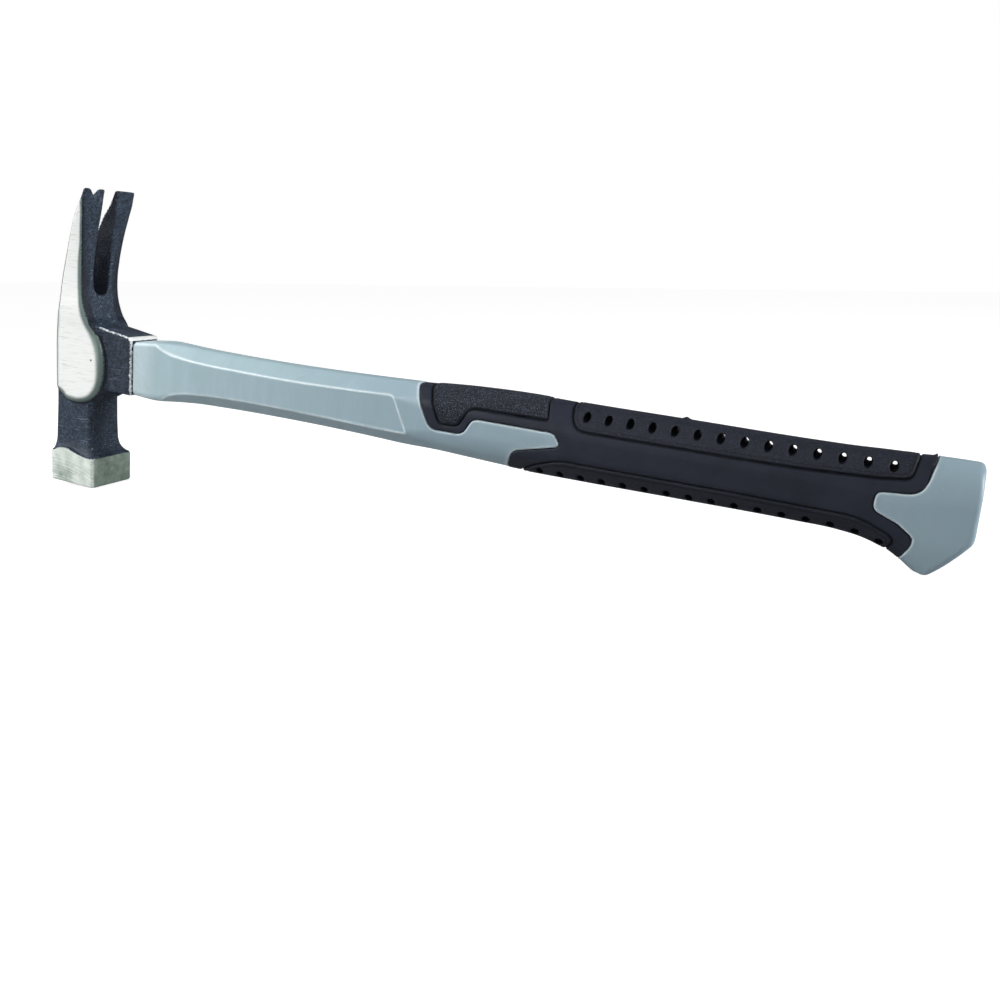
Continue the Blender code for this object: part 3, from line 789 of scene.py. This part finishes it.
def epoxy():
    """Dark amber resin with small bubbles."""
    f = Finish("epoxy", Coat_Weight=0.5, Coat_Roughness=0.12)
    cloud = f.noise(0.5, 3.0)
    bubbles = f.node("TexVoronoi", {"Vector": f.stretch((0.9, 0.9, 0.9)), "Scale": 1.0}).outputs[0]
    base = f.mix(f.span(cloud, 0.3, 0.7), "4a3d26", "6d5c38")
    base = f.mix(f.span(bubbles, 0.16, 0.1), base, "9c8a5c")
    return f.finish(Base_Color=base, Roughness=f.span(cloud, 0.3, 0.7, 0.18, 0.34),
                    Normal=f.bump(f.math("MINIMUM", bubbles, 0.25), 0.2))


def fibreglass():
    """Sawn end of a glass-fibre rod: cream resin with pale fibre bundles."""
    f = Finish("fibreglass")
    bundles = f.noise((0.15, 1.6, 1.6), 4.0, 0.7)
    saw = f.noise((0.3, 0.35, 2.8), 2.0)
    base = f.mix(f.span(bundles, 0.35, 0.68), "b9a565", "efe6bf")
    return f.finish(Base_Color=base, Roughness=f.span(saw, 0.3, 0.7, 0.42, 0.66),
                    Normal=f.bump(f.math("ADD", bundles, saw), 0.12))


# ---------------------------------------------------------------- pieces

def add_piece(name, mesh, material, node):
    """Links a finished mesh as the piece that stands for one CAD node."""
    piece = bpy.data.objects.new(name, mesh)
    bpy.context.scene.collection.objects.link(piece)
    mesh.materials.append(material)
    mesh.transform(PLACEMENT)
    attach(piece, "root")
    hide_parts(node)


def segment_distance(points, start, end):
    """Distance from each point to a straight line between two ends, on both sides of Y."""
    points = points.copy()
    points[:, 1] = np.abs(points[:, 1])
    start, end = np.array(start), np.array(end)
    way = end - start
    t = np.clip((points - start) @ way / (way @ way), 0, 1)
    return np.linalg.norm(points - start - t[:, None] * way, axis=1)


def head_bare_depth(x, y, z):
    """How deep a point lies in bare steel: ground leaves, face block, collar's top edge."""
    across = np.abs(y)
    side = np.maximum(curve(CLAW, 3, z), CHEEK_HALF * (z < 84.0))
    lip = np.where(x - curve(CLAW, 1, z) < 2.0, 0.8, 1.1 + 1.6 * ramp(z, 82.0, 74.0))
    leaf = np.minimum(leaf_depth(x, z), across - side + lip)
    block = block_top(x, across) - z - 0.3 - 0.5 * ramp(x, -8.0, -12.0)
    collar = np.minimum(x - MOUTH_X + 1.6, z - 73.0)
    return np.maximum(np.maximum(leaf, np.where(z < BLOCK_REACH, block, OUTSIDE)), collar)


def leaf_turn_shade(x, z):
    """Painted shade: greyer steel colour where the ground leaf turns over at its front and its
    back.
    """
    depth = leaf_depth(x, z)
    front_width = 1.2 + ramp(z, 116.0, 104.0) + 1.7 * low_down(z) * ramp(z - x, 30.0, 46.0)
    front = 1 - depth / front_width
    back = 1 - (x - curve(CLAW, 1, z)) / (0.8 + 3.0 * ramp(z, 96.0, 76.0))
    turn = np.maximum(ramp(front, 0.0, 0.6), ramp(back, 0.05, 0.75))
    return turn * (depth > -0.6)


def leaf_rim(x, y, z):
    """Dark line where the leaf's back edge is rounded off."""
    rounded_off = np.maximum(curve(CLAW, 3, z), CHEEK_HALF * (z < 84.0)) - np.abs(y)
    near_back = x - curve(CLAW, 1, z) < 3.0
    return ramp(rounded_off, 0.08, 0.32) * near_back * (leaf_depth(x, z) > 1.0)


def head_wear_depth(points):
    """How deep a point lies in worn paint, along edges and at two small knocks."""
    worn_lines = [
        (0.55, (13.0, 8.5, 76.4), (31.3, 8.5, 74.1)),
        (0.85, (31.5, 8.4, 74.0), (31.5, 0.0, 74.0)),
        (0.8, (31.3, 8.6, 48.2), (31.3, 8.6, 73.6)),
        (0.15, (31.5, 8.4, 47.9), (31.5, 0.0, 47.9)),
        (0.5, (6.5, 12.3, 84.6), (6.6, 12.3, 84.7)),
        (0.1, (9.0, 9.0, 16.0), (8.2, 9.0, 24.0)),
    ]
    wear = np.full(len(points), OUTSIDE)
    for width, start, end in worn_lines:
        wear = np.maximum(wear, width - segment_distance(points, start, end))
    x, y, z = points.T
    slot_edge = np.abs(np.abs(y) - curve(SLOT, 1, z)) + np.abs(x - curve(CLAW, 1, z) - 0.2)
    on_prongs = (z > 108.0) & (z < 134.0)
    return np.maximum(wear, np.where(on_prongs, 0.5 - slot_edge, OUTSIDE))


def head_painted_shade(x, y, z):
    """Painted shade: darker paint colour in the nail slot, in the crease round the foot of the
    leaf and on the collar's sides.
    """
    across = np.abs(y)
    slot = (ramp(curve(SLOT, 2, z) + 0.6 - across, 0.0, 0.4)
            * ramp(z, SLOT_BOTTOM - 0.5, SLOT_BOTTOM + 0.5)
            * ramp(curve(CLAW, 2, z) + 0.4 - x, 0.0, 0.5))
    foot = ridge(leaf_depth(x, z) + 0.4, 0.5) * (across > 7.0)
    on_collar = (x > 12.0) & (across > 8.0) & (z > 47.0) & (z < 76.0)
    return np.maximum(np.maximum(slot, foot), 0.3 * on_collar)


def build_head():
    """Forged head with its masks for bare, darker-patched and worn steel, and for painted shade.
    """
    mesh, points = field_mesh("head_forging", head_field, (-13.8, -16.3, -1.0),
                              (32.6, 16.3, 139.0), HEAD_STEP)
    x, y, z = points.T
    on_block = z < BLOCK_REACH
    store(mesh, "bare", head_bare_depth(x, y, z))
    store(mesh, "block", on_block)
    # Face block's side towards the butt, darkened in colour as painted shade.
    store(mesh, "shaded_block_side", ramp(x, FACE_HALF - 0.5, FACE_HALF - 0.1) * on_block)
    # Darker patch low on the face block's near side.
    store(mesh, "dark_patch", ridge(np.hypot((x + 4.5) / 7.5, (z - 4.0) / 5.0), 1.0) * (y < 0))
    # Painted shade on the leaf's turned-over edges.
    store(mesh, "turn", leaf_turn_shade(x, z))
    store(mesh, "rim", leaf_rim(x, y, z))
    store(mesh, "wear", head_wear_depth(points))
    # Painted shade in the nail slot, round the leaf's foot and on the collar's sides.
    store(mesh, "painted_shade", head_painted_shade(x, y, z))
    add_piece("head_forging", mesh, head_steel(), "head")


def build_jacket():
    """Plastic handle with painted highlights along its moulded edges and by the collar, and
    painted shade towards the butt.
    """
    mesh, points = field_mesh("handle_moulding", jacket_field, (4.0, -13.3, 39.5),
                              (390.0, 13.3, 86.5), PLASTIC_STEP)
    x, y, z = points.T
    line = outline_distance(PANEL_LINE, x, z)
    on_side = ramp(np.abs(y), 5.0, 7.0)
    # Painted highlights: crease lines of the panel, the lip at the rubber's edge, and the stretch
    # by the collar.
    panel_highlight = 0.75 * ridge(line, 0.4) * on_side * ramp(x, 40.0, 48.0)
    grip_edge_highlight = 0.55 * ridge(outline_distance(GRIP, x, z) - 0.5, 0.4)
    collar_highlight = 0.3 * ramp(x, 50.0, 33.0)
    store(mesh, "pale", np.maximum(np.maximum(panel_highlight, grip_edge_highlight), collar_highlight))
    # Painted shade growing towards the butt.
    store(mesh, "falloff_shade", np.clip((x - 30.0) / 170.0, 0, 1) * 0.8)
    add_piece("handle_moulding", mesh, grey_plastic(), "handle_jacket")


def build_grip():
    """Rubber grip with its pads' masks."""
    mesh, points = field_mesh("grip_sleeve", grip_field, (174.0, -13.6, 44.0),
                              (375.0, 13.6, 86.0), RUBBER_STEP)
    x, _, z = points.T
    thumb = outline_distance(THUMB, x, z)
    upper = outline_distance(UPPER, x, z)
    lower = outline_distance(LOWER, x, z)
    near = np.minimum(np.minimum(thumb, upper), lower)
    pad = np.maximum(ramp(-np.minimum(thumb, upper), 0.4, 1.2), 0.4 * ramp(-lower, 0.4, 1.2))
    store(mesh, "pad", pad)
    store(mesh, "thumb", ramp(-thumb, 0.8, 1.4))
    # Painted shade in the pads' border grooves.
    store(mesh, "groove", np.maximum(ridge(near + 0.05, 0.42), 0.5 * ridge(near + 1.7, 0.32)))
    add_piece("grip_sleeve", mesh, black_rubber(), "rubber_grip")


def build_resin():
    """Epoxy round the core's end."""
    mesh, _ = field_mesh("eye_epoxy", resin_field, (-13.6, -8.0, 49.0), (6.0, 8.0, 73.0),
                         RESIN_STEP)
    add_piece("eye_epoxy", mesh, epoxy(), "eye_resin")


def finish_core():
    """The core keeps its CAD shape and gets a fibreglass finish."""
    core = frame["nodes"]["fibreglass_core"]
    core.data.materials.clear()
    core.data.materials.append(fibreglass())


# ---------------------------------------------------------------- stage

def build_floor():
    """Pale floor that the hammer stands on, bright to the camera and calmer in reflections."""
    mesh = bpy.data.meshes.new("floor")
    corners = [(-FLOOR_REACH, -FLOOR_REACH, 0), (FLOOR_REACH, -FLOOR_REACH, 0),
               (FLOOR_REACH, FLOOR_REACH, 0), (-FLOOR_REACH, FLOOR_REACH, 0)]
    mesh.from_pydata(corners, [], [(0, 1, 2, 3)])
    floor = bpy.data.objects.new("floor", mesh)
    bpy.context.scene.collection.objects.link(floor)
    f = Finish("floor", Roughness=0.9)
    f.shader.inputs["Specular IOR Level"].default_value = 0.0
    seen = f.node("LightPath", {}).outputs["Is Camera Ray"]
    f.finish(Base_Color=f.mix(seen, (0.42, 0.42, 0.42, 1.0), (0.36, 0.36, 0.36, 1.0)),
             Emission_Color=(1.0, 1.0, 1.0, 1.0),
             Emission_Strength=f.math("MULTIPLY", seen, 0.88))
    mesh.materials.append(f.material)


def add_light(name, place, target, size, power, spread=180.0):
    """Square soft box that points at a target; spread is its beam in degrees."""
    light = bpy.data.lights.new(name, "AREA")
    light.shape = "SQUARE"
    light.size = size
    light.energy = power
    light.spread = math.radians(spread)
    item = bpy.data.objects.new(name, light)
    bpy.context.scene.collection.objects.link(item)
    item.location = place
    item.rotation_euler = (Vector(target) - Vector(place)).to_track_quat("-Z", "Y").to_euler()


def build_world():
    """White backdrop; the room around it is grey, lighter overhead and to the front left."""
    world = bpy.data.worlds.new("studio")
    bpy.context.scene.world = world
    world.use_nodes = True
    tree = world.node_tree
    background = tree.nodes["Background"]
    way = tree.nodes.new("ShaderNodeTexCoord").outputs["Generated"]
    facing = tree.nodes.new("ShaderNodeVectorMath")
    facing.operation = "DOT_PRODUCT"
    facing.inputs[1].default_value = Vector((-0.45, -0.65, 0.6)).normalized()
    tree.links.new(way, facing.inputs[0])
    room = tree.nodes.new("ShaderNodeMapRange")
    for key, value in (("From Min", -1.0), ("From Max", 1.0), ("To Min", 0.08), ("To Max", 0.34)):
        room.inputs[key].default_value = value
    tree.links.new(facing.outputs["Value"], room.inputs["Value"])
    light_path = tree.nodes.new("ShaderNodeLightPath")
    strength = tree.nodes.new("ShaderNodeMix")
    tree.links.new(light_path.outputs["Is Camera Ray"], strength.inputs[0])
    tree.links.new(room.outputs["Result"], strength.inputs[2])
    strength.inputs[3].default_value = 1.0
    tree.links.new(strength.outputs[0], background.inputs["Strength"])
    background.inputs["Color"].default_value = (1.0, 1.0, 1.0, 1.0)


def build_camera():
    """Camera at the photograph's viewing angle."""
    data = bpy.data.cameras.new("camera")
    data.sensor_width = 36.0
    data.lens = 35.84
    data.clip_start = 0.01
    camera = bpy.data.objects.new("camera", data)
    bpy.context.scene.collection.objects.link(camera)
    camera.location = (0.18073, -0.36403, 0.10232)
    camera.rotation_euler = (1.344655, -0.005777, 0.400611)
    bpy.context.scene.camera = camera


build_camera()
build_floor()
build_world()
add_light("key", (-0.72, -0.5, 0.66), (-0.15, 0.0, 0.05), 0.35, 1.48, spread=60.0)
add_light("edge", (1.9, 0.2, 0.55), (-0.15, 0.0, 0.05), 0.6, 42.0)
add_light("low_front", (-0.1, -1.2, 0.12), (0.05, 0.0, 0.05), 0.4, 2.3)
build_head()
build_jacket()
build_grip()
build_resin()
finish_core()
bpy.context.scene.view_settings.view_transform = "Standard"
